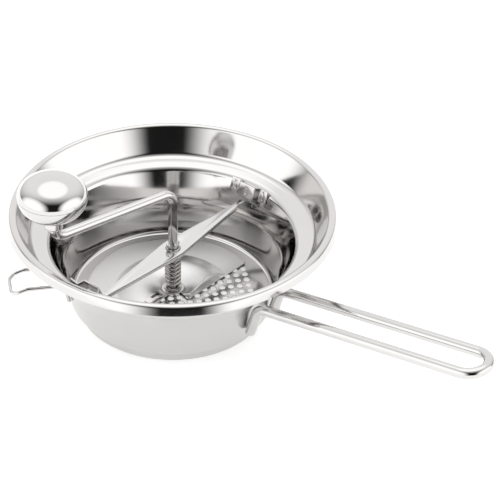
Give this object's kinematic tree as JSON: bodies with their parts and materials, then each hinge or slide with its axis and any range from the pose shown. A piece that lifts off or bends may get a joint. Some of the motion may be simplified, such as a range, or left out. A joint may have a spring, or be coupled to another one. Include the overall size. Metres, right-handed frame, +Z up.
{
  "type": "rotary food mill",
  "caption": "Hand-cranked rotary food mill: a stepped steel bowl with a perforated disc, a sprung blade and pressure bar, a loop handle and pot hooks, for ricing cooked potatoes.",
  "frame": {"origin": "centre of the bounding box's base, on the plane that the base ring stands on; the bowl's axis is at X = -0.075", "axes": "+X along the handle, away from the bowl; +Z up along the bowl's axis, out of its mouth"},
  "size_m": [0.3863, 0.24, 0.1483],
  "materials": {
    "mirror_steel": "mirror-polished stainless steel",
    "satin_steel": "satin stainless steel",
    "spring_steel": "drawn stainless spring wire"
  },
  "bodies": {
    "mill": {"bowl": "mirror_steel", "handle_loop": "mirror_steel", "pot_hook_rear": "mirror_steel", "pot_hook_front": "mirror_steel", "catch_rear": "satin_steel", "catch_front": "satin_steel", "perforated_disc": "mirror_steel"},
    "crank": {"crank_rod": "mirror_steel", "blade": "satin_steel", "blade_hub": "satin_steel", "lower_spring_washer": "satin_steel", "spring": "spring_steel", "knob_washer": "satin_steel", "knob_clip": "satin_steel"},
    "knob": {"knob_base": "mirror_steel", "knob_cap": "mirror_steel", "knob_bush": "satin_steel"},
    "presser": {"bar_bush": "satin_steel", "upper_spring_washer": "satin_steel"},
    "bar": {"pressure_bar": "mirror_steel"}
  },
  "joints": [
    {"name": "crank_turn", "type": "hinge", "parent": "mill", "child": "crank", "pos_m": [-0.0732, 0, 0.05], "axis": [0, 0, 1], "continuous": true},
    {"name": "knob_turn", "type": "hinge", "parent": "crank", "child": "knob", "pos_m": [-0.10238, -0.09544, 0.12], "axis": [0, 0, 1], "continuous": true},
    {"name": "bar_press", "type": "slide", "parent": "mill", "child": "presser", "axis": [0, 0, -1], "range_m": [0, 0.006], "stiffness_N_per_m": 6000, "springref_m": -0.004, "deforming": ["spring"]},
    {"name": "bar_turn", "type": "hinge", "parent": "presser", "child": "bar", "pos_m": [-0.0732, 0, 0.0484], "axis": [0, 0, 1], "range_deg": [-35, 35]}
  ]
}
